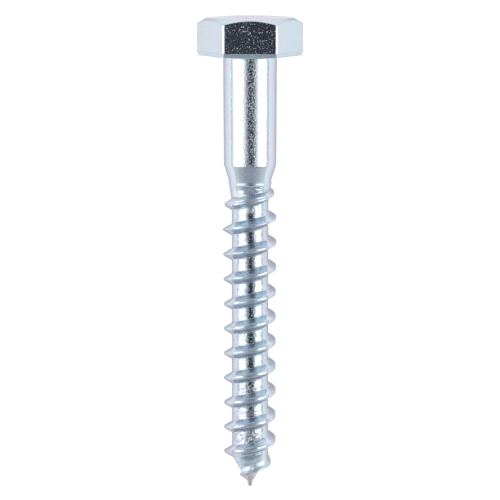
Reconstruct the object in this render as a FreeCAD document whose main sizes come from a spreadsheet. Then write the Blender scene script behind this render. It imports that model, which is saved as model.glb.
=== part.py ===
import FreeCAD, Part
import math
import os
import Sketcher

# Hex-head lag screw of 10 mm, 80 mm long under the head, turned and rolled from one piece of steel
# and bright zinc plated. Sizes are in millimetres and degrees.
#
# The body is drawn in the screw's own frame: the bearing face of the head is on z = 0, the shank
# runs towards +Z and the head is on the -Z side. It is then laid on the ground, as it comes to
# rest: on one flat of the head and on the crest of the thread near the point, with the head
# towards +Y and the ground on z = 0.

SIZES = (
    ("across_flats", 17.0, "width of the hexagon over two flats"),
    ("head_height", 6.9, "from the bearing face to the top"),
    ("corner_radius", 0.7, "rounding of the six upright edges of the head"),
    ("crown_diameter", 16.1, "flat circle left on top by the crown's chamfer"),
    ("crown_angle", 30.0, "slope of the crown's chamfer"),
    ("trim_height", 0.8, "band along the lower edge of the head, left by the trimming die"),
    ("trim_depth", 0.25, "how far that band draws in at the bearing face"),
    ("head_fillet", 0.45, "fillet between the bearing face and the shank"),
    ("shank_diameter", 9.8, "plain shank"),
    ("shank_length", 20.0, "from the bearing face to the neck"),
    ("neck_step", 0.6, "how far the small end of the neck's cone stands over the core"),
    ("neck_length", 3.0, "length of the neck's cone"),
    ("collar_step", 0.705, "how far the low collar that rolling leaves stands over the core"),
    ("collar_width", 0.8, "its width"),
    ("relief_length", 2.6, "cone from the collar down to the core"),
    ("relief_fillet", 4.0, "radius where that cone runs into the core"),
    ("core_diameter", 6.75, "core of the thread"),
    ("total_length", 80.6, "from the bearing face to the end of the nib"),
    ("point_angle", 62.0, "full angle of the point"),
    ("nib_diameter", 0.9, "nib at the end of the point, where it starts"),
    ("nib_end_diameter", 0.6, "nib at its blunt end"),
    ("nib_length", 1.2, "its length"),
    ("thread_diameter", 9.7, "over the crests"),
    ("pitch", 4.64, "from crest to crest"),
    ("flank_angle", 60.0, "between the two flanks"),
    ("crest_width", 0.15, "flat on the crest"),
    ("run_out_lead", 0.28, "from the start of the thread, inside the neck, to the collar"),
    ("run_out_turns", 1.25, "turns over which the crest rises to its full radius"),
    ("crest_sink", 0.12, "how deep the crest lies under the collar where it starts"),
    ("rib_overlap", 0.25, "how far the rib of the thread reaches into the core"),
    ("last_crest", 2.2, "from the last crest to the end of the nib"),
)

NODE = "lag_screw"
X_AXIS = FreeCAD.Vector(1, 0, 0)
Y_AXIS = FreeCAD.Vector(0, 1, 0)
HEX_SIDES = 6
TOLERANCE = 1e-4

doc = FreeCAD.newDocument("LagScrew")


# Driving sizes

sheet = doc.addObject("Spreadsheet::Sheet", "Sizes")
for row, (alias, amount, meaning) in enumerate(SIZES, start=1):
    sheet.set(f"A{row}", meaning)
    sheet.set(f"B{row}", str(amount))
    sheet.setAlias(f"B{row}", alias)
doc.recompute()


def half_tan(alias):
    """Tangent of half of an angle of the sheet, as an expression."""
    return f"tan(Sizes.{alias} / 2 * 1 deg)"


def value(expression):
    """What an expression on the sheet comes to."""
    return float(sheet.evalExpression(expression))


# Stations along the screw and the thread's own sizes, as expressions on the sheet

NECK_RADIUS = "(Sizes.core_diameter / 2 + Sizes.neck_step)"
NECK_END = "(Sizes.shank_length + Sizes.neck_length)"
COLLAR_RADIUS = "(Sizes.core_diameter / 2 + Sizes.collar_step)"
COLLAR_END = f"({NECK_END} + Sizes.collar_width)"
CORE_START = f"({COLLAR_END} + Sizes.relief_length)"
NIB_START = "(Sizes.total_length - Sizes.nib_length)"
POINT_LENGTH = f"((Sizes.core_diameter - Sizes.nib_diameter) / 2 / {half_tan('point_angle')})"
POINT_START = f"({NIB_START} - {POINT_LENGTH})"

blank = doc.addObject("PartDesign::Body", "blank")
blank.Label = "blank"


def origin_feature(role):
    """One of the body's own planes or axes."""
    return next(feature for feature in blank.Origin.OriginFeatures if feature.Role == role)


def pin(sketch, kind, edge, expression):
    """Ties the start of a sketch edge to an expression, or to the axis itself where it is "0"."""
    if expression == "0":
        axis = -2 if kind == "DistanceX" else -1
        sketch.addConstraint(Sketcher.Constraint("PointOnObject", edge, 1, axis))
        return
    index = sketch.addConstraint(
        Sketcher.Constraint(kind, -1, 1, edge, 1, value(expression)))
    sketch.setExpression(f"Constraints[{index}]", expression)


def outline(name, plane, corners):
    """Closed sketch of straight edges, whose corners are pairs of expressions."""
    sketch = blank.newObject("Sketcher::SketchObject", name)
    sketch.AttachmentSupport = (origin_feature(plane), [""])
    sketch.MapMode = "FlatFace"
    points = [FreeCAD.Vector(value(across), value(along), 0) for across, along in corners]
    for start, end in zip(points, points[1:] + points[:1]):
        sketch.addGeometry(Part.LineSegment(start, end), False)
    for edge, (across, along) in enumerate(corners):
        sketch.addConstraint(
            Sketcher.Constraint("Coincident", edge, 2, (edge + 1) % len(corners), 1))
        pin(sketch, "DistanceX", edge, across)
        pin(sketch, "DistanceY", edge, along)
    doc.recompute()
    return sketch


def feature(kind, name, **settings):
    """Adds one feature to the body, sets its plain properties and binds those given as text."""
    made = blank.newObject(kind, name)
    for key, setting in settings.items():
        if isinstance(setting, str) and "Sizes." in setting:
            made.setExpression(key, setting)
        else:
            setattr(made, key, setting)
    doc.recompute()
    return made


def edges_of(shape, wanted):
    """Names of the edges of a shape that a test picks."""
    return [f"Edge{number}" for number, edge in enumerate(shape.Edges, start=1) if wanted(edge)]


# Head: a hexagon with two of its flats square to Y

def hexagon_corners():
    """Corners of the hexagon, one after the other, starting on +X."""
    corner = f"(Sizes.across_flats / 2 / cos({180 / HEX_SIDES} deg))"
    turns = [360 / HEX_SIDES * side for side in range(HEX_SIDES)]
    across = [f"{corner} * cos({turn} deg)" for turn in turns]
    along = [f"{corner} * sin({turn} deg)" if turn % 180 else "0" for turn in turns]
    return list(zip(across, along))


hexagon = outline("hexagon", "XY_Plane", hexagon_corners())
head = feature("PartDesign::Pad", "head", Profile=hexagon, Length="Sizes.head_height * 1 mm",
               Reversed=True)


def upright(edge):
    """Whether an edge of the head runs along the screw."""
    return abs(edge.tangentAt(edge.FirstParameter).z) > 1 - TOLERANCE


rounded = feature("PartDesign::Fillet", "head_corners",
                  Base=(head, edges_of(head.Shape, upright)),
                  Radius="Sizes.corner_radius * 1 mm")


def on_bearing_face(edge):
    """Whether an edge lies on z = 0."""
    return abs(edge.BoundBox.ZMin) < TOLERANCE and abs(edge.BoundBox.ZMax) < TOLERANCE


trimmed = feature("PartDesign::Chamfer", "trim_band",
                  Base=(rounded, edges_of(rounded.Shape, on_bearing_face)),
                  ChamferType="Two distances",
                  Size="Sizes.trim_height * 1 mm",
                  Size2="Sizes.trim_depth * 1 mm")


# Crown: the chamfer that leaves a flat circle on top of the head

CROWN_RADIUS = "(Sizes.crown_diameter / 2)"
CUT_RADIUS = "Sizes.across_flats"
CROWN_DROP = f"(({CUT_RADIUS} - {CROWN_RADIUS}) * tan(Sizes.crown_angle * 1 deg))"

crown_section = outline("crown_section", "XZ_Plane", [
    (CROWN_RADIUS, "-Sizes.head_height"),
    (CUT_RADIUS, "-Sizes.head_height"),
    (CUT_RADIUS, f"-Sizes.head_height + {CROWN_DROP}"),
])
crowned = feature("PartDesign::Groove", "crown", Profile=crown_section,
                  ReferenceAxis=(crown_section, ["V_Axis"]), Angle=360.0)


# Stem: shank, neck, collar, core, point and nib in one turned profile

stem_section = outline("stem_section", "YZ_Plane", [
    ("0", "0"),
    ("Sizes.shank_diameter / 2", "0"),
    ("Sizes.shank_diameter / 2", "Sizes.shank_length"),
    (NECK_RADIUS, NECK_END),
    (COLLAR_RADIUS, NECK_END),
    (COLLAR_RADIUS, COLLAR_END),
    ("Sizes.core_diameter / 2", CORE_START),
    ("Sizes.core_diameter / 2", POINT_START),
    ("Sizes.nib_diameter / 2", NIB_START),
    ("Sizes.nib_end_diameter / 2", "Sizes.total_length"),
    ("0", "Sizes.total_length"),
])
stem = feature("PartDesign::Revolution", "stem", Profile=stem_section,
               ReferenceAxis=(stem_section, ["V_Axis"]), Angle=360.0)


def ring(diameter, station):
    """Test for the round edge of a given diameter at a given distance from the bearing face."""
    radius = value(diameter) / 2
    height = value(station)

    def wanted(edge):
        centre = edge.BoundBox.Center
        return (isinstance(edge.Curve, Part.Circle)
                and abs(edge.Curve.Radius - radius) < TOLERANCE
                and abs(centre.z - height) < TOLERANCE)

    return wanted


under_head = feature("PartDesign::Fillet", "under_head",
                     Base=(stem, edges_of(stem.Shape, ring("Sizes.shank_diameter", "0"))),
                     Radius="Sizes.head_fillet * 1 mm")
relief = feature("PartDesign::Fillet", "relief",
                 Base=(under_head, edges_of(under_head.Shape,
                                            ring("Sizes.core_diameter", CORE_START))),
                 Radius="Sizes.relief_fillet * 1 mm")


# Thread: a right-hand rib of 60 degrees, worked out by its four rails. It rises out of the neck with
# a blunt crest, as where rolling leaves a thread unfilled, runs full along the core and comes down
# with the point.

PITCH = value("Sizes.pitch")
RIB_START = value(NECK_END) - value("Sizes.run_out_lead")
RIB_END = value("Sizes.total_length - Sizes.last_crest")
RIB_TURNS = (RIB_END - RIB_START) / PITCH
POINT_TURNS = 1.0
STEPS_PER_TURN = 16
FULL_RADIUS = value("Sizes.thread_diameter / 2")
FIRST_RADIUS = value(f"{COLLAR_RADIUS} - Sizes.crest_sink")
RIB_DEPTH = FULL_RADIUS - value("Sizes.core_diameter / 2") + value("Sizes.rib_overlap")
LAST_RADIUS = RIB_DEPTH + value("Sizes.nib_end_diameter / 4")
FLANK_SLOPE = math.tan(math.radians(value("Sizes.flank_angle")) / 2)


def crest_radius(turn):
    """Radius of the crest, a number of turns from the start of the rib."""
    risen = min(turn / value("Sizes.run_out_turns"), 1)
    fallen = max(turn - (RIB_TURNS - POINT_TURNS), 0) / POINT_TURNS
    rise = (FULL_RADIUS - FIRST_RADIUS) * (1 - math.sin(math.pi / 2 * risen))
    fall = (FULL_RADIUS - LAST_RADIUS) * (1 - math.cos(math.pi / 2 * fallen))
    return FULL_RADIUS - rise - fall


def rib_corners(turn):
    """Radius and height over the middle of the rib of the four corners of its section."""
    crest = crest_radius(turn)
    root = crest - RIB_DEPTH
    crest_half = value("Sizes.crest_width / 2")
    if turn < value("Sizes.run_out_turns"):
        root = FULL_RADIUS - RIB_DEPTH
        crest_half += (FULL_RADIUS - crest) * FLANK_SLOPE
    root_half = crest_half + (crest - root) * FLANK_SLOPE
    return [(root, -root_half), (crest, -crest_half), (crest, crest_half), (root, root_half)]


def rib_rail(corner, pieces):
    """One corner of the section carried along the helix, as edges that follow one another."""
    steps = math.ceil(RIB_TURNS * STEPS_PER_TURN / pieces) * pieces
    points = []
    for step in range(steps + 1):
        turn = RIB_TURNS * step / steps
        radius, height = rib_corners(turn)[corner]
        turned = 2 * math.pi * (turn - RIB_TURNS)
        points.append(FreeCAD.Vector(radius * math.cos(turned), radius * math.sin(turned),
                                     RIB_START + PITCH * turn + height))
    whole = Part.BSplineCurve()
    whole.interpolate(points, Parameters=[float(step) for step in range(steps + 1)])
    share = steps // pieces
    edges = []
    for piece in range(pieces):
        part = whole.copy()
        part.segment(piece * share, (piece + 1) * share)
        edges.append(part.toShape())
    return edges


def rib_solid():
    """The rib as a closed solid: four faces along each turn and one at each end."""
    pieces = math.ceil(RIB_TURNS)
    rails = [rib_rail(corner, pieces) for corner in range(4)]
    faces = [Part.makeRuledSurface(rail[piece], following[piece])
             for rail, following in zip(rails, rails[1:] + rails[:1])
             for piece in range(pieces)]
    for end, vertex in ((0, 0), (-1, -1)):
        corners = [rail[end].Vertexes[vertex].Point for rail in rails]
        faces.append(Part.Face(Part.makePolygon(corners + corners[:1])))
    skin = Part.Compound(faces)
    skin.sewShape()
    solid = Part.Solid(skin.Shells[0])
    return solid if solid.Volume > 0 else solid.reversed()


thread = doc.addObject("Part::Feature", "thread")
thread.Label = "thread"
thread.Shape = rib_solid()


# Rest on the ground: the upper edge of the trim band touches it, and one crest of the thread. The
# crest passes the underside once a turn, a share of a turn back from the end of the rib.

UNDERSIDE = 0.75
FLAT_RADIUS = value("Sizes.across_flats / 2")
TRIM_HEIGHT = value("Sizes.trim_height")


def resting_tilt():
    """Angle between the screw and the ground, where the first crest on the underside touches."""
    turns = [RIB_TURNS - UNDERSIDE - whole for whole in range(math.floor(RIB_TURNS))]
    return min(math.atan2(FLAT_RADIUS - crest_radius(turn),
                          RIB_START + PITCH * turn + TRIM_HEIGHT) for turn in turns)


tilt = resting_tilt()
lift = FLAT_RADIUS * math.cos(tilt) - TRIM_HEIGHT * math.sin(tilt)
head_end = (value("Sizes.head_height") * math.cos(tilt)
            + value("Sizes.crown_diameter / 2") * math.sin(tilt))
nib_end = (value("Sizes.total_length") * math.cos(tilt)
           + value("Sizes.nib_end_diameter / 2") * math.sin(tilt))
laid_down = (FreeCAD.Rotation(X_AXIS, math.degrees(tilt) - 90)
             * FreeCAD.Rotation(Y_AXIS, 180))


# The screw: blank and thread in one, laid down

screw = doc.addObject("Part::Fuse", NODE)
screw.Label = NODE
screw.Base = blank
screw.Tool = thread
screw.Placement = FreeCAD.Placement(
    FreeCAD.Vector(0, (nib_end - head_end) / 2, lift), laid_down)
doc.recompute()

failed = [item.Label for item in doc.Objects
          if "Invalid" in item.State or "Error" in item.State]
if failed:
    raise RuntimeError(f"These objects failed: {', '.join(failed)}")
if screw.Shape.isNull() or not screw.Shape.isValid():
    raise RuntimeError(f"{NODE} has no valid shape")
if len(screw.Shape.Solids) != 1:
    raise RuntimeError(f"{NODE} isn't one solid")

os.makedirs("parts", exist_ok=True)
screw.Shape.exportStep(f"parts/{screw.Label}.step")
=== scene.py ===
import math

import bmesh
import bpy
import numpy as np
from mathutils import Matrix, Vector


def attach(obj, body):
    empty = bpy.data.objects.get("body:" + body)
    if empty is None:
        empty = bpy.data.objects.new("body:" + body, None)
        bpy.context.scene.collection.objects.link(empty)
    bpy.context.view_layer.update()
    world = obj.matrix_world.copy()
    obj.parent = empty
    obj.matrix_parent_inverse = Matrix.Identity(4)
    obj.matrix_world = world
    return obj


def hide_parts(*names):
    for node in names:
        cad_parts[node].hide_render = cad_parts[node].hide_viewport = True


# Bright zinc-plated lag screw, lying on a pale floor and seen from above. Shapes are worked out in
# millimetres in the screw's own frame: the bearing face of the head is on z = 0, the tip towards
# +z and the underside as it lies on +y. The mesh is then laid into the row frame, in metres.

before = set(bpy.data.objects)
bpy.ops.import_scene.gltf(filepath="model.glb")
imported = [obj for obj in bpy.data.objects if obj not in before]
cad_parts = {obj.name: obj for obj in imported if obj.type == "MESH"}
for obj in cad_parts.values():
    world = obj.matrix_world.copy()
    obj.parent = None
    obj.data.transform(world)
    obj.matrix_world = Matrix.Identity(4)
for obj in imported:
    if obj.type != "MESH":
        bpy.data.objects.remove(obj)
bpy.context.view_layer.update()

MM = 0.001
rng = np.random.default_rng(11)


# How the screw lies: the lean of its axis, and where the middle of the bearing face comes to be

REST_TILT = math.radians(2.930678)
REST_Y = 36.603685
REST_Z = 8.447981

laid_down = (Matrix.Translation(Vector((0, REST_Y, REST_Z)) * MM)
             @ Matrix.Rotation(REST_TILT - math.pi / 2, 4, "X")
             @ Matrix.Rotation(math.pi, 4, "Y")
             @ Matrix.Scale(MM, 4))


# Sizes of the head

FLAT_RADIUS = 8.5
HEAD_HEIGHT = 6.9
CORNER_RADIUS = 0.7
CROWN_RADIUS = 8.05
CROWN_SLOPE = math.tan(math.radians(30))
TRIM_HEIGHT = 0.8
TRIM_DEPTH = 0.25
SOFT_EDGE = 0.1


# Sizes of the stem and the thread

TIP = 80.6
PITCH = 4.64
RIB_START = 22.87
RIB_TURNS = 12
RUN_OUT_TURNS = 1.25
POINT_TURNS = 1.0
FULL_RADIUS = 4.85
FIRST_RADIUS = 3.96
LAST_RADIUS = 1.875
FLANK_TILT = math.radians(30)
FLANK_SLOPE = math.tan(FLANK_TILT)

# Turned profile of the stem: distance from the bearing face and radius
STEM = np.array([
    (0.0, 5.36), (0.06, 5.17), (0.17, 5.03), (0.32, 4.955), (0.5, 4.93), (3.0, 4.925), (9.0, 4.91),
    (16.0, 4.87), (19.6, 4.855), (19.9, 4.85), (20.05, 4.84), (20.15, 4.82), (20.25, 4.793),
    (20.4, 4.747), (21.4, 4.433), (22.3, 4.15), (22.9, 3.96), (23.1, 3.9), (23.19, 3.895),
    (23.26, 3.95), (23.31, 4.0), (23.36, 4.018), (23.55, 4.02), (23.61, 4.0),
    (23.67, 3.95), (23.75, 3.905), (23.9, 3.87), (24.2, 3.82), (24.8, 3.715), (25.4, 3.615),
    (26.0, 3.53), (26.5, 3.47), (27.0, 3.43), (27.6, 3.405), (28.3, 3.385),
    (73.9, 3.38), (74.2, 3.365), (74.5, 3.32), (74.8, 3.235), (75.1, 3.11), (75.4, 2.964),
    (79.0, 0.95), (79.25, 0.79), (79.5, 0.65),
    (79.8, 0.56), (80.15, 0.5), (80.45, 0.455), (80.55, 0.42), (80.6, 0.34),
])


# How rolling shaped the thread. Where something sets in is given in turns from the start of the rib,
# as from and to, and a stretch also says from where to where it fades. A spread is added to half the
# width of the crest.

# The first full turns stand proud, more so on the left
FIRST_FULL_TURNS = (0.9, 1.6, 2.0, 5.2)
PROUD_LEFT = 0.21
PROUD_RIGHT = 0.05

# The crest dips where the run-out ends and again on the point
RUN_OUT_END = (0.8, 1.0, 1.0, 1.3)
POINT_DIP = (11.1, 11.4, 11.6, 11.9)
DIP = 0.1

# In between it is lower on the right
MIDDLE_TURNS = (3.0, 5.0, 11.0, 11.2)
LOWER_RIGHT = 0.08

# The first strand has a groove along its broad crest, where the metal folded over
FOLDED = (0.48, 0.68, 0.9, 1.1)
FOLD_DEPTH = 0.1
FOLD_WIDTH = 0.09
FOLD_SPREAD = 0.25
FOLD_SHARPER = 0.08

# Before that, the strand lies a little nearer to the tip
SHIFTED = (0.2, 0.4, 0.55, 0.8)
SHIFT = 0.06

# The crest is blunt in the run-out, and then grows rounder, flatter and broader on the right
RUN_OUT_SPREAD = 0.35
CREST_GROWS = (1.5, 6.0)
CREST_ROUND = 0.27
CREST_ROUND_MORE = 0.10
CREST_FLAT = 0.065
RIGHT_SPREADS = (1.6, 3.0)
RIGHT_SPREAD = 0.1

# On the point the flank towards the head is gentle and the other one steep, which makes the lip
GENTLE = (11.1, 11.45)
GENTLE_SPREAD_ENDS = (11.55, 11.8)
GENTLE_SPREAD = 0.15
GENTLE_HEADWARD_SLOPE = 0.33
GENTLE_TIPWARD_MORE = 0.7
GENTLE_BOW_LESS = 0.6
LATE = (11.75, 12.0)
LATE_HEADWARD_MORE = 0.5
LATE_TIPWARD_LESS = 1.1

# Both ends of the rib sink into the stem, and its root is soft
RIB_STARTS = (-0.04, 0.12)
RIB_ENDS = (RIB_TURNS - 0.03, RIB_TURNS + 0.02)
END_SINK = 2.0
SOFT_ROOT = 0.10
SOFTER_ROOT = (11.15, 11.6)
SOFT_ROOT_MORE = 0.35


def smooth(x, low, high):
    """Rises smoothly from 0 at low to 1 at high."""
    t = np.clip((np.asarray(x, float) - low) / (high - low), 0, 1)
    return t * t * (3 - 2 * t)


def stretch(x, rise_from, rise_to, fall_from, fall_to):
    """Rises smoothly from 0 to 1, and falls back to 0 further on."""
    return smooth(x, rise_from, rise_to) * (1 - smooth(x, fall_from, fall_to))


def on_right(turn):
    """1 where the crest passes the right of the screw in the picture, 0 where it passes the left."""
    return (1 - np.cos(2 * math.pi * turn)) / 2


def core_radius(s):
    """Radius of the turned profile."""
    return np.interp(s, STEM[:, 0], STEM[:, 1])


def crest_radius(turn):
    """Radius of the crest of the thread, a number of turns from its start."""
    risen = np.clip(turn / RUN_OUT_TURNS, 0, 1)
    fallen = np.clip(turn - (RIB_TURNS - POINT_TURNS), 0, 1) / POINT_TURNS
    rise = (FULL_RADIUS - FIRST_RADIUS) * (1 - np.sin(math.pi / 2 * risen))
    fall = (FULL_RADIUS - LAST_RADIUS) * (1 - np.cos(math.pi / 2 * fallen))
    proud = PROUD_LEFT + (PROUD_RIGHT - PROUD_LEFT) * on_right(turn)
    proud = proud * stretch(turn, *FIRST_FULL_TURNS)
    low = DIP * (stretch(turn, *POINT_DIP) + stretch(turn, *RUN_OUT_END))
    low += LOWER_RIGHT * on_right(turn) * stretch(turn, *MIDDLE_TURNS)
    return FULL_RADIUS - rise - fall + proud - low


def rib_radius(turn, across):
    """Radius of the rib's surface at a distance along the screw from the middle of its crest. It is 0
    where there is no rib."""
    crest = crest_radius(turn)
    folded = stretch(turn, *FOLDED)
    grown = smooth(turn, *CREST_GROWS)
    gentle = smooth(turn, *GENTLE)
    late = smooth(turn, *LATE)

    half = np.where(turn < RUN_OUT_TURNS, (FULL_RADIUS - crest) * FLANK_SLOPE * RUN_OUT_SPREAD, 0)
    half = half + FOLD_SPREAD * folded + CREST_FLAT * grown
    half += GENTLE_SPREAD * gentle * (1 - smooth(turn, *GENTLE_SPREAD_ENDS))
    half += RIGHT_SPREAD * on_right(turn) * smooth(turn, *RIGHT_SPREADS) * (1 - gentle)
    across = across - SHIFT * stretch(turn, *SHIFTED)
    past = np.maximum(np.abs(across) - half, 0)

    rounding = CREST_ROUND + CREST_ROUND_MORE * grown - FOLD_SHARPER * folded
    bend = rounding * math.cos(FLANK_TILT)
    bowed = rounding - np.sqrt(np.maximum(rounding ** 2 - np.minimum(past, bend) ** 2, 0))
    steep = 1 / FLANK_SLOPE
    headward = steep + (GENTLE_HEADWARD_SLOPE - steep) * gentle + LATE_HEADWARD_MORE * late
    tipward = steep + GENTLE_TIPWARD_MORE * gentle - LATE_TIPWARD_LESS * late
    drop = bowed * (1 - GENTLE_BOW_LESS * gentle)
    drop += np.maximum(past - bend * (1 - gentle), 0) * np.where(across < 0, headward, tipward)
    fold = FOLD_DEPTH * folded * np.exp(-(across / FOLD_WIDTH) ** 2)

    started = smooth(turn, *RIB_STARTS)
    ended = 1 - smooth(turn, *RIB_ENDS)
    surface = crest - drop - fold - (1 - started * ended) * END_SINK
    return np.where((started > 0) & (ended > 0), surface, 0)


def stem_radius(angle, s):
    """Radius of the stem with its thread."""
    result = core_radius(s)
    base = (s - RIB_START) / PITCH - angle / (2 * math.pi)
    for whole in (np.floor(base), np.floor(base) + 1):
        turn = whole + angle / (2 * math.pi)
        rib = rib_radius(turn, s - (RIB_START + PITCH * turn))
        soft = SOFT_ROOT + SOFT_ROOT_MORE * smooth(turn, *SOFTER_ROOT)
        gap = np.clip((rib - result) / soft, -1, 1)
        joined = np.maximum(rib, result) + soft * (1 - np.abs(gap)) ** 2 / 4
        result = np.where(rib > 0, joined, result)
    return result


# Building blocks of the mesh: rings and grids of points, and the faces between them

vertices = []
faces = []


def add(points):
    """Adds points, an array of three columns, and returns the number of the first."""
    first = sum(len(block) for block in vertices)
    vertices.append(np.asarray(points, float))
    return first


def points_about(radii, heights, angles):
    """Points about the axis, for example of one ring."""
    radii, heights, angles = np.broadcast_arrays(radii, heights, angles)
    return np.stack([radii * np.cos(angles), radii * np.sin(angles), heights], axis=-1)


def quads(first, rows, columns, closed, flip=False):
    """Faces of a grid of points stored row by row."""
    for row in range(rows - 1):
        for column in range(columns if closed else columns - 1):
            following = (column + 1) % columns
            a = first + row * columns + column
            b = first + row * columns + following
            c, d = b + columns, a + columns
            faces.append((a, d, c, b) if flip else (a, b, c, d))


def add_rings(rows, angles):
    """Adds rings, each with its radii and heights, and the faces between them. Returns the numbers
    of the first points of the first and of the last ring."""
    starts = [add(points_about(radii, heights, angles)) for radii, heights in rows]
    quads(starts[0], len(rows), len(angles), True)
    return starts[0], starts[-1]


def fan(ring, columns, middle, flip=False):
    """Triangles between a ring and one point."""
    for column in range(columns):
        here = ring + column
        following = ring + (column + 1) % columns
        faces.append((following, here, middle) if flip else (here, following, middle))


def stitch(first_a, angles_a, first_b, angles_b):
    """Triangles between two rings about the axis with different columns."""
    a = b = 0
    while a < len(angles_a) or b < len(angles_b):
        next_a = angles_a[a + 1] if a + 1 < len(angles_a) else angles_a[0] + 2 * math.pi
        next_b = angles_b[b + 1] if b + 1 < len(angles_b) else angles_b[0] + 2 * math.pi
        at_a = first_a + a % len(angles_a)
        at_b = first_b + b % len(angles_b)
        if b >= len(angles_b) or (a < len(angles_a) and next_a <= next_b):
            a += 1
            faces.append((at_a, first_a + a % len(angles_a), at_b))
        else:
            b += 1
            faces.append((at_a, first_b + b % len(angles_b), at_b))


# Threaded part. Its rows follow the helix, so that the crest lies on one of them. Where a row would
# leave the part, it runs along its end.

ANGLES = 120
COLLAR_END = 27.2
ACROSS = np.array([0, 0.04, 0.08, 0.12, 0.18, 0.27, 0.38, 0.5, 0.62, 0.74, 0.84, 0.92, 1.0, 1.12,
                   1.28, 1.46, 1.66, 1.88, 2.1, PITCH / 2])

across_row = np.concatenate([-ACROSS[:0:-1], ACROSS])
first_turn = math.floor((COLLAR_END - RIB_START) / PITCH - 0.5) - 1
turns = np.arange(first_turn * ANGLES, (RIB_TURNS + 2) * ANGLES + 1) / ANGLES
turn_grid, across_grid = np.meshgrid(turns, across_row, indexing="ij")
s_grid = np.clip(RIB_START + PITCH * turn_grid + across_grid, COLLAR_END, TIP)
angle_grid = 2 * math.pi * turn_grid
radius_grid = stem_radius(np.mod(angle_grid, 2 * math.pi), s_grid)
helix = add(points_about(radius_grid, s_grid, angle_grid).reshape(-1, 3))
quads(helix, len(turns), len(across_row), False, flip=True)


# Shank

stem_angles = 2 * math.pi * np.arange(ANGLES) / ANGLES
shank_rows = np.array([0.0, 0.06, 0.17, 0.32, 0.5, 0.8, 2, 4, 6, 8, 10, 12, 14, 16, 18, 19, 19.5, 19.9])
shank_first, shank_last = add_rings([(core_radius(s), s) for s in shank_rows], stem_angles)


# Neck, collar and first strand: plain rings, close enough together for the fine steps

COLLAR_ANGLES = 2 * ANGLES
collar_angles = 2 * math.pi * np.arange(COLLAR_ANGLES) / COLLAR_ANGLES
collar_rows = np.concatenate([[20.05, 20.15, 20.25, 20.4], np.arange(20.6, 22.95, 0.2),
                              np.arange(23.0, 24.2, 0.06), np.arange(24.2, COLLAR_END - 0.02, 0.05)])
collar_first, collar_last = add_rings([(stem_radius(collar_angles, s), s) for s in collar_rows],
                                      collar_angles)
stitch(shank_last, stem_angles, collar_first, collar_angles)
collar_edge = add(points_about(stem_radius(stem_angles, COLLAR_END), COLLAR_END, stem_angles))
stitch(collar_last, collar_angles, collar_edge, stem_angles)


# End of the nib

nib = add(np.array([[0, 0, TIP]]))
nib_ring = add(points_about(core_radius(TIP), TIP, stem_angles))
fan(nib_ring, ANGLES, nib)


# Head

CORNER = math.pi / 3
CORNER_COLUMNS = 6
COLUMNS_BESIDE_CORNER = (0.25, 0.9)
FLAT_COLUMNS = (5, 8, 12, 16, 20, 24)


def head_angles():
    """Angles of the columns of the head: close over the rounded corners, wide over the flats."""
    half = math.degrees(math.atan2(CORNER_RADIUS * math.tan(CORNER / 2),
                                   FLAT_RADIUS / math.cos(CORNER / 2)))
    near = np.concatenate([np.linspace(0, half, CORNER_COLUMNS),
                           half + np.array(COLUMNS_BESIDE_CORNER), np.array(FLAT_COLUMNS)])
    one = np.concatenate([-near[:0:-1], near, [30]])
    return np.radians(np.concatenate([60 * side + one for side in range(6)]))


def hexagon_radius(angles, flat):
    """Distance from the axis to a hexagon with rounded corners, whose corners lie at 0, 60, ..."""
    local = np.abs(np.mod(angles + CORNER / 2, CORNER) - CORNER / 2)
    straight = flat / np.cos(CORNER / 2 - local)
    centre = (flat - CORNER_RADIUS) / math.cos(CORNER / 2)
    along_ray = centre * np.cos(local)
    beside = CORNER_RADIUS ** 2 - (centre * np.sin(local)) ** 2
    rounded = along_ray + np.sqrt(np.maximum(beside, 0))
    touch = np.arctan2(CORNER_RADIUS * math.sin(CORNER / 2),
                       centre + CORNER_RADIUS * math.cos(CORNER / 2))
    return np.where(local < touch, rounded, straight)


columns = head_angles()
outer = hexagon_radius(columns, FLAT_RADIUS)
crown_z = -HEAD_HEIGHT + (outer - CROWN_RADIUS) * CROWN_SLOPE

# The top and the crown
rows = [(CROWN_RADIUS * share, -HEAD_HEIGHT) for share in (0.25, 0.5, 0.75, 0.9, 0.97, 0.99)]
for share in (0.03, 0.12, 0.5):
    radius = CROWN_RADIUS + (outer - CROWN_RADIUS) * share
    rows.append((radius, -HEAD_HEIGHT + (radius - CROWN_RADIUS) * CROWN_SLOPE))

# The soft edge between the crown and the sides, in steps back from the side and down it
for back, down in ((2.0, -2.0 * CROWN_SLOPE), (1.0, -CROWN_SLOPE), (0.42, -0.2), (0.12, 0.25),
                   (0.0, 0.8), (0.0, 2.0)):
    rows.append((outer - SOFT_EDGE * back, crown_z + SOFT_EDGE * down))

# The sides, the trimmed band and the soft edge below it
side_top = crown_z + SOFT_EDGE * 2
side_end = -TRIM_HEIGHT - SOFT_EDGE
for share in (0.25, 0.5, 0.75, 0.93, 1):
    rows.append((outer, side_top + (side_end - side_top) * share))
for z in (-TRIM_HEIGHT - 0.04, -TRIM_HEIGHT + 0.05, -TRIM_HEIGHT + 0.13, -0.42, -0.17, -0.11):
    rows.append((outer - TRIM_DEPTH / TRIM_HEIGHT * max(z + TRIM_HEIGHT, 0), z))
for back, z in ((0.245, -0.04), (0.29, -0.01), (0.36, 0.0), (0.5, 0.0)):
    rows.append((outer - back, z))

# The bearing face
for radius in (7.2, 5.62):
    rows.append((radius, 0.0))

head_first, head_last = add_rings(rows, columns)
top = add(np.array([[0, 0, -HEAD_HEIGHT]]))
fan(head_first, len(columns), top, flip=True)
stitch(head_last, columns, shank_first, stem_angles)


# The object. Points of neighbouring parts that meet become one.

SAME_POINT = 0.004

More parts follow.
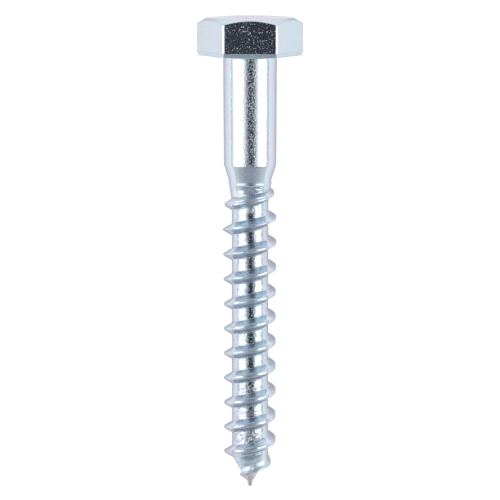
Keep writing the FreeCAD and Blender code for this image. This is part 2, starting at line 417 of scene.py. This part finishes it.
mesh = bpy.data.meshes.new("lag_screw")
mesh.from_pydata(np.concatenate(vertices).tolist(), [], faces)
screw = bpy.data.objects.new("lag_screw_zinc", mesh)
bpy.context.scene.collection.objects.link(screw)

work = bmesh.new()
work.from_mesh(mesh)
bmesh.ops.remove_doubles(work, verts=work.verts, dist=SAME_POINT)
bmesh.ops.recalc_face_normals(work, faces=work.faces)
work.to_mesh(mesh)
work.free()

count = len(mesh.vertices)
at = np.empty(count * 3)
mesh.vertices.foreach_get("co", at)
at = at.reshape(-1, 3)
out = np.hypot(at[:, 0], at[:, 1])
around = np.arctan2(at[:, 1], at[:, 0])
along = at[:, 2]


def ripple(points, wavelength, waves=24):
    """Smooth seeded noise, about -1 to 1, from waves that run every way."""
    ways = rng.normal(size=(waves, 3))
    ways *= (2 * math.pi / wavelength * rng.uniform(0.7, 1.4, (waves, 1))
             / np.linalg.norm(ways, axis=1, keepdims=True))
    return np.sin(points @ ways.T + rng.uniform(0, 2 * math.pi, waves)).sum(axis=1) / math.sqrt(waves)


def patch(centre_along, centre_around, half_along, half_across):
    """1 at a place on the stem, falling to 0 around it. Places are given in millimetres from the
    bearing face and in degrees about the axis: -90 faces the camera, and less lies to the right."""
    turned = np.mod(around - math.radians(centre_around) + math.pi, 2 * math.pi) - math.pi
    reach = np.hypot((along - centre_along) / half_along, turned * out / half_across)
    return 1 - smooth(reach, 0.45, 1.0)


# Marks of rolling and of wear, as changes of the radius

CRUMPLED_TIP = (70.8, -88, 1.6, 5.2)
CRUMPLED = (
    (0.045, 0.62, CRUMPLED_TIP),
    (0.026, 0.6, (61.4, -88, 1.3, 2.8)),
    (0.014, 0.6, (65.9, -96, 0.9, 1.7)),
    (0.012, 0.7, (28.1, -90, 0.9, 1.7)),
)
NICKS = (
    (0.12, (55.7, -142, 0.9, 0.24)),
    (0.08, (60.9, -139, 0.8, 0.2)),
    (0.07, (76.9, -96, 0.5, 0.25)),
    (0.05, (76.0, -104, 0.4, 0.22)),
)
RING_SQUEEZE = np.array([0.22, 0.22, 1.0])
ARC_DEPTH = 0.014
ARC_PITCH = 0.46
ARC_WAVER = 0.8

stem = smooth(along, 0.6, 1.2) * smooth(out, 0.3, 1.2)
threaded = smooth(along, 23.0, 26.0) * stem
off_rib = 1 - smooth(out - core_radius(along), 0.08, 0.3)

change = 0.004 * ripple(at, 2.6) * stem + 0.006 * ripple(at, 1.1) * threaded
for depth, wavelength, place in CRUMPLED:
    change += depth * ripple(at, wavelength) * patch(*place)
for depth, place in NICKS:
    change -= depth * patch(*place)

# Fine rings, from noise over points that are squeezed sideways, and the arcs under the collar
squeezed = at * RING_SQUEEZE
ringed = stretch(along, 23.6, 24.0, 26.4, 27.4) * (0.35 + 1.4 * patch(25.2, -125, 2.4, 2.4))
change += 0.006 * ripple(squeezed, 0.5) * ringed * off_rib
arcs = np.sin(2 * math.pi * along / ARC_PITCH + ARC_WAVER * np.sin(3 * around))
change += ARC_DEPTH * arcs * patch(24.8, -128, 1.25, 1.5) * off_rib
change += 0.0022 * ripple(squeezed, 0.55) * stretch(along, 21.6, 22.4, 23.0, 23.2)
change += 0.0012 * ripple(squeezed, 0.6) * smooth(along, 27, 28) * stem

at[:, 0] += change * np.cos(around)
at[:, 1] += change * np.sin(around)
mesh.vertices.foreach_set("co", at.ravel())


# Amounts for each vertex, which the finish reads

def attribute(name, amounts):
    """Keeps an amount for each vertex."""
    mesh.attributes.new(name, "FLOAT", "POINT").data.foreach_set("value", amounts.astype(np.float32))


def patches(*places):
    """The largest amount of some patches; each gives its place, half its length and width and its
    amount."""
    total = np.zeros(count)
    for *place, amount in places:
        total = np.maximum(total, amount * patch(*place))
    return total


TRIM_LINE = -0.78
LOWER_LINE = -0.05

from_front = np.abs(np.degrees(around) + 90)
nearest = np.round((along - RIB_START) / PITCH - around / (2 * math.pi)) + around / (2 * math.pi)
across = along - (RIB_START + PITCH * nearest)
crest_over = crest_radius(nearest) - core_radius(along)
height = np.clip((out - core_radius(along)) / np.maximum(crest_over, 0.2), 0, 1)
in_thread = stretch(along, 23.6, 25.5, 79.2, 79.8) * (nearest > 0.1)

# The flanks, in front and at the sides, and the crest where it crosses the stripe. The flanks at the
# sides are darkened with painted shade.
flank = stretch(height, 0.08, 0.3, 0.8, 0.95) * in_thread
facing = 1 - smooth(from_front, 45, 75)
astride = 1 - smooth(from_front, 10, 22)
attribute("flank", flank * facing)
attribute("lobe_shade", flank * (1 - facing))
attribute("crest", smooth(height, 0.8, 0.95) * in_thread * (0.15 + 0.85 * astride))

# Darker brown: two lines along the last strand, the underside of the lip and the nib
lines = np.exp(-((across + 0.06) / 0.1) ** 2) + np.exp(-((across - 0.4) / 0.12) ** 2)
lines *= smooth(height, 0.2, 0.5) * patch(73.6, -35, 2.6, 6.5)
under_lip = smooth(across, 0.0, 0.15) * smooth(nearest, 11.5, 11.75) * smooth(along, 77.0, 77.4)
under_lip *= 0.3 + 0.7 * patch(77.9, -30, 1.6, 1.9)
dark_brown = np.maximum(np.maximum(lines, under_lip), smooth(along, 78.2, 78.9))
dark_brown *= 1 - 0.65 * smooth(along, 79.2, 79.8)
attribute("dark_brown", np.clip(dark_brown, 0, 1))

# Films of colour, pale and matt places and crumpled ones, whose creases also carry painted shade
attribute("pink", patches((25.0, -62, 0.5, 1.2, 0.6), (72.0, -62, 0.7, 1.4, 0.5),
                          (26.9, -55, 0.25, 0.9, 0.5)))
attribute("mint", patches((25.85, -69, 0.55, 1.2, 1.0), (31.2, -64, 0.35, 1.3, 0.8),
                          (27.7, -62, 0.35, 1.4, 0.7), (53.2, -70, 0.6, 1.0, 0.5)))
attribute("blue", patches((25.3, -96, 0.9, 0.9, 0.8), (27.9, -100, 0.3, 0.8, 0.5)))
attribute("pale", patches((28.15, -90, 0.8, 1.6, 1.0), (25.2, -66, 1.4, 2.6, 0.35),
                          (70.7, -88, 1.4, 4.4, 0.4), (61.4, -88, 1.1, 2.0, 0.3),
                          (80.2, -90, 0.9, 2.0, 0.5)))
attribute("matt", patches((76.6, -115, 1.7, 5.0, 1.0)))
attribute("crumple", patches((*CRUMPLED_TIP, 1.0), (61.4, -88, 1.3, 3.0, 0.7),
                             (65.9, -96, 0.9, 1.8, 0.6), (28.2, -90, 0.9, 2.2, 0.4),
                             (52.0, -115, 1.4, 1.4, 0.5)))

# Dull specks: thick along the stripe of the shank, in blotches on the core, few on the flanks
shank = stretch(along, 0.3, 0.7, 19.9, 20.2)
head = 1 - smooth(along, 0.0, 0.2)
below = stretch(along, 23.6, 26.5, 79.0, 79.6)
ahead = 1 - smooth(from_front, 8, 15)
blotch = np.clip(0.6 * ripple(at, 8), 0, 1)
speck = shank * (0.15 + 0.85 * ahead) + 0.36 * head
speck += below * (0.25 + 0.1 * ahead + 0.45 * blotch) * (1 - 0.9 * flank)
speck += 0.5 * patch(70.8, -88, 1.7, 5.2) + 0.4 * patch(61.4, -88, 1.3, 2.8)
speck *= 1 - 0.8 * smooth(height, 0.5, 0.8) * (nearest < 1.2) * in_thread
attribute("speck", speck)

# The rolled core, which is mottled in front, and the stem as a whole
forward = 1 - smooth(from_front, 36, 48)
attribute("rolled", below * (0.3 + 0.7 * forward))
attribute("stem", stem)

# A blush at the back of the top, and painted shade: dark lines along the edges of the head and its
# outer corners
blush = (1 - smooth(np.abs(along + HEAD_HEIGHT), 0.02, 0.25)) * smooth(out, 7.0, 7.9)
attribute("blush", blush * smooth(at[:, 1], 5.5, 7.5))
hexagon = hexagon_radius(around, FLAT_RADIUS)
rim = (along < 0.02) * (1 - smooth(hexagon - out, 0.25, 0.45))
arc = -HEAD_HEIGHT + (hexagon - CROWN_RADIUS) * CROWN_SLOPE
corner = np.abs(np.mod(around + math.pi / 2, math.pi) - math.pi / 2) * out
edge_shade = np.zeros(count)
for amount, away, width in ((0.7, along - arc, 0.12), (0.4, along - TRIM_LINE, 0.08),
                            (0.5, along - LOWER_LINE, 0.12), (0.6, corner, 0.22)):
    edge_shade += amount * np.exp(-(away / width) ** 2)
attribute("edge_shade", np.clip(edge_shade, 0, 1) * rim)


# Laid down, and smoothly shaded

mesh.transform(laid_down)
mesh.update()
for face in mesh.polygons:
    face.use_smooth = True
normals = screw.modifiers.new("normals", "WEIGHTED_NORMAL")
normals.keep_sharp = True


class Nodes:
    """The nodes of a material, a world or a light, made one after the other."""

    def __init__(self, owner):
        owner.use_nodes = True
        self.tree = owner.node_tree

    def node(self, kind, inputs=(), **settings):
        """A node; inputs pairs a socket with a number, a colour or another node's output."""
        made = self.tree.nodes.new(kind)
        for key, setting in settings.items():
            setattr(made, key, setting)
        for socket, source in dict(inputs).items():
            self.set(made.inputs[socket], source)
        return made

    def set(self, socket, source):
        """Links a socket to an output or gives it a plain amount."""
        if isinstance(source, bpy.types.NodeSocket):
            self.tree.links.new(source, socket)
        elif socket.type == "RGBA":
            socket.default_value = (*source, 1)
        else:
            socket.default_value = source

    def give(self, name, inputs):
        """Sets sockets of a node that the tree has from the start."""
        for socket, source in inputs.items():
            self.set(self.tree.nodes[name].inputs[socket], source)

    def amount(self, name):
        """An amount kept for each vertex."""
        return self.node("ShaderNodeAttribute", attribute_name=name).outputs["Fac"]

    def part(self, vector, axis):
        """One part of a vector: X, Y or Z."""
        return self.node("ShaderNodeSeparateXYZ", {0: vector}).outputs[axis]

    def scaled(self, vector, scale):
        """A vector with each part multiplied by an amount of its own."""
        return self.node("ShaderNodeMapping", {"Vector": vector, "Scale": scale}).outputs[0]

    def noise(self, vector, scale, detail=2.0, roughness=0.5):
        """Noise over a vector; its output runs from about 0.3 to 0.7."""
        return self.node("ShaderNodeTexNoise", {"Vector": vector, "Scale": scale, "Detail": detail,
                                                "Roughness": roughness}).outputs["Fac"]

    def ramp(self, factor, *stops):
        """Colours or greys at positions along a factor."""
        made = self.node("ShaderNodeValToRGB", {"Fac": factor})
        elements = made.color_ramp.elements
        while len(elements) < len(stops):
            elements.new(0.5)
        for element, (position, colour) in zip(elements, stops):
            element.position = position
            element.color = (*colour, 1) if isinstance(colour, tuple) else (colour,) * 3 + (1,)
        return made.outputs["Color"]

    def mix(self, factor, first, second, blend="MIX"):
        """Two colours mixed."""
        made = self.node("ShaderNodeMix", data_type="RGBA", blend_type=blend)
        for socket, source in ((made.inputs[0], factor), (made.inputs[6], first),
                               (made.inputs[7], second)):
            self.set(socket, source)
        return made.outputs[2]

    def maths(self, operation, *numbers):
        """One sum of two or three numbers."""
        return self.node("ShaderNodeMath", dict(enumerate(numbers)), operation=operation).outputs[0]

    def times(self, first, second):
        """A product."""
        return self.maths("MULTIPLY", first, second)

    def plus(self, first, second):
        """A sum."""
        return self.maths("ADD", first, second)


# Zinc plate: bright, finely grained, with the faint violet, blue and green of its passivation, and
# painted shade on the flanks at the sides, along the edges of the head and in the crumpled places.
# The noises are given by their scales, in waves to the metre.

FILM_SCALE = 170
SHEEN_SCALE = 600
FLECK_SCALE = 900
MOTTLE_SCALE = 1500
WRINKLE_SHADE_SCALE = 1700
CREASE_SCALE = 1900
PIT_SCALE = 3000
GRAIN_SCALE = 3600
SPOT_SCALE = 3700
MOTTLE_SHAPE = (0.45, 1, 0.45)
GRAIN_SHAPE = (1, 0.8, 1)
STEM_TINT = (0.985, 0.955, 0.97)
WRINKLE_SHADE_TINT = (0.26, 0.28, 0.31)
TINTS = (
    ("flank", 0.7, (0.75, 0.88, 0.98)),
    # painted shade: the flanks at the sides made darker
    ("lobe_shade", 0.8, (0.44, 0.45, 0.51)),
    ("pale", 0.9, (0.90, 0.92, 0.93)),
    ("pink", 0.8, (0.90, 0.78, 0.95)),
    ("mint", 0.8, (0.68, 0.95, 0.92)),
    ("blue", 0.7, (0.50, 0.58, 0.80)),
    ("dark_brown", 0.85, (0.48, 0.41, 0.385)),
    ("blush", 0.9, (0.75, 0.42, 0.62)),
    # painted shade along the edges of the head and at its outer corners
    ("edge_shade", 0.45, (0.36, 0.38, 0.40)),
)
ROUGHER = (
    ("flank", 0.13),
    ("lobe_shade", 0.13),
    ("crest", 0.27),
    ("rolled", 0.04),
    ("pale", 0.22),
    ("matt", 0.25),
)
BUMP_DEPTH = 0.0001

zinc_plate = bpy.data.materials.new("zinc_plate")
zinc = Nodes(zinc_plate)
place = zinc.node("ShaderNodeTexCoord").outputs["Object"]
speck_is = zinc.amount("speck")
crumple_is = zinc.amount("crumple")

# Colour
film = zinc.plus(zinc.noise(place, FILM_SCALE, 3), zinc.times(zinc.noise(place, FLECK_SCALE), 0.25))
tint = zinc.ramp(film, (0.48, (0.585, 0.615, 0.675)), (0.60, (0.58, 0.64, 0.685)),
                 (0.72, (0.55, 0.65, 0.69)))
tint = zinc.mix(zinc.amount("stem"), tint, STEM_TINT, "MULTIPLY")
mottle = zinc.ramp(zinc.noise(zinc.scaled(place, MOTTLE_SHAPE), MOTTLE_SCALE),
                   (0.40, (0.72, 0.76, 0.79)), (0.58, (0.94, 0.96, 0.95)))
tint = zinc.mix(zinc.amount("rolled"), tint, mottle, "MULTIPLY")
for name, strength, colour in TINTS:
    tint = zinc.mix(zinc.times(zinc.amount(name), strength), tint, colour)
# Painted shade: dark spots in the crumpled places, standing in for the shade in their wrinkles
wrinkle_shade = zinc.ramp(zinc.noise(place, WRINKLE_SHADE_SCALE, 2, 0.6), (0.50, 0.0), (0.58, 1.0))
tint = zinc.mix(zinc.times(zinc.times(wrinkle_shade, crumple_is), 0.6), tint, WRINKLE_SHADE_TINT)

# Roughness
rough = zinc.ramp(zinc.noise(place, SHEEN_SCALE, 3), (0.35, 0.05), (0.65, 0.10))
for name, more in ROUGHER:
    rough = zinc.plus(rough, zinc.times(zinc.amount(name), more))
spots = zinc.plus(zinc.noise(place, SPOT_SCALE, 1), zinc.times(speck_is, 0.14))
rough = zinc.plus(rough, zinc.times(zinc.ramp(spots, (0.67, 0.0), (0.73, 1.0)), 0.46))

# Fine relief
grain = zinc.times(zinc.noise(zinc.scaled(place, GRAIN_SHAPE), GRAIN_SCALE, 1),
                   zinc.maths("MULTIPLY_ADD", speck_is, 0.2, 0.1))
pits = zinc.times(zinc.ramp(zinc.noise(place, PIT_SCALE, 1), (0.53, 0.0), (0.65, 1.0)),
                  zinc.times(speck_is, 0.12))
creases = zinc.times(zinc.noise(place, CREASE_SCALE), crumple_is)
relief = zinc.plus(zinc.plus(grain, pits), creases)
bump = zinc.node("ShaderNodeBump", {"Strength": 1.0, "Distance": BUMP_DEPTH, "Height": relief})

zinc.give("Principled BSDF", {"Metallic": 1.0, "Specular Tint": (0.60, 0.57, 0.60),
                              "Base Color": tint, "Roughness": rough,
                              "Normal": bump.outputs["Normal"]})
mesh.materials.append(zinc_plate)

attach(screw, "root")
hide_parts("lag_screw")


# Stage: a pale floor that glows a little, as a light table does, and a dark flag overhead, which
# brightens towards both sides, like cloth with light behind its edges

FLOOR_SIZE = (8, 8)
FLOOR_PLACE = (0, 0, -0.00002)
FLOOR_GLOW = 0.5
FLAG_WIDTH = 0.867
FLAG_LENGTH = 0.7
FLAG_PLACE = (0.0335, 0.1, 0.62)
FLAG_GLOW = 1.78


def plane(name, size, centre, material):
    """A level rectangle of the stage."""
    half_x, half_y = size[0] / 2, size[1] / 2
    flat = bpy.data.meshes.new(name)
    flat.from_pydata([(-half_x, -half_y, 0), (half_x, -half_y, 0), (half_x, half_y, 0),
                      (-half_x, half_y, 0)], [], [(0, 1, 2, 3)])
    flat.materials.append(material)
    made = bpy.data.objects.new(name, flat)
    made.location = centre
    bpy.context.scene.collection.objects.link(made)


table = bpy.data.materials.new("floor")
Nodes(table).give("Principled BSDF", {"Base Color": (0.85, 0.85, 0.85), "Roughness": 0.9,
                                      "Emission Color": (1, 1, 1), "Emission Strength": FLOOR_GLOW})
plane("floor", FLOOR_SIZE, FLOOR_PLACE, table)

cloth = bpy.data.materials.new("flag")
weave = Nodes(cloth)
sideways = weave.part(weave.node("ShaderNodeTexCoord").outputs["Object"], "X")
share = weave.maths("MULTIPLY_ADD", sideways, 1 / FLAG_WIDTH, 0.5)
behind = weave.ramp(share, (0.0, 0.95), (0.36, 0.06), (0.46, 0.0), (0.58, 0.0), (0.773, 0.22),
                    (1.0, 0.97))
weave.give("Principled BSDF", {"Base Color": (0.02, 0.02, 0.03), "Roughness": 1.0,
                               "Emission Color": behind, "Emission Strength": FLAG_GLOW})
plane("flag", (FLAG_WIDTH, FLAG_LENGTH), FLAG_PLACE, cloth)


# Light: a pale dome, darker overhead and a little darker towards the tip, and a soft box on each side

studio = bpy.data.worlds.new("studio")
bpy.context.scene.world = studio
sky = Nodes(studio)
direction = sky.node("ShaderNodeTexCoord").outputs["Generated"]
dome = sky.ramp(sky.part(direction, "Z"), (0.15, (0.88, 0.9, 0.93)), (0.75, (0.4, 0.445, 0.51)))
shade = sky.ramp(sky.times(sky.part(direction, "Y"), -1.0),
                 (0.28, 1.0), (0.38, 0.9), (0.46, 0.97), (0.56, 1.0))
sky.give("Background", {"Strength": 1.0, "Color": sky.mix(1.0, dome, shade, "MULTIPLY")})


def soft_box(name, location, size, power, fade):
    """An area light aimed at the middle of the screw. Its lower part, a share of it, fades out."""
    light = bpy.data.lights.new(name, "AREA")
    light.shape = "RECTANGLE"
    light.size, light.size_y = size
    light.energy = power
    glow = Nodes(light)
    upward = glow.part(glow.node("ShaderNodeNewGeometry").outputs["Parametric"], "Y")
    rise = glow.node("ShaderNodeMapRange", {"Value": upward, "From Min": 0.0, "From Max": fade},
                     interpolation_type="SMOOTHSTEP")
    glow.give("Emission", {"Strength": rise.outputs["Result"]})
    made = bpy.data.objects.new(name, light)
    made.location = location
    aim = Vector((0, 0, 0)) - Vector(location)
    made.rotation_euler = aim.to_track_quat("-Z", "Y").to_euler()
    bpy.context.scene.collection.objects.link(made)


soft_box("box_left", (-0.78, 0.0, 0.63), (0.85, 1.45), 6.9, 0.4)
soft_box("box_right", (0.77, 0.0, 0.64), (0.72, 1.25), 5.1, 0.28)


# Camera, from the photograph: it looks down on the screw along its upper side

EYE_UP = 480
EYE_HEADWARD = 32
AIM_TIPWARD = 36
SENSOR_WIDTH = 36
FOCAL_PIXELS = 2620.6
PICTURE_PIXELS = 500

up = Vector((0, -math.sin(REST_TILT), math.cos(REST_TILT)))
headward = Vector((0, math.cos(REST_TILT), math.sin(REST_TILT)))
bearing = Vector((0, REST_Y, REST_Z))
eye = (bearing + EYE_UP * up + EYE_HEADWARD * headward) * MM
aim = (bearing - AIM_TIPWARD * headward) * MM

lens = bpy.data.cameras.new("camera")
lens.sensor_width = SENSOR_WIDTH
lens.lens = SENSOR_WIDTH * FOCAL_PIXELS / PICTURE_PIXELS
lens.clip_start = 0.01
lens.clip_end = 20
camera = bpy.data.objects.new("camera", lens)
look = (aim - eye).normalized()
right = look.cross(headward).normalized()
turned_to = Matrix((right, right.cross(look), -look)).transposed().to_4x4()
camera.matrix_world = Matrix.Translation(eye) @ turned_to
bpy.context.scene.collection.objects.link(camera)
bpy.context.scene.camera = camera

bpy.context.scene.view_settings.view_transform = "Standard"
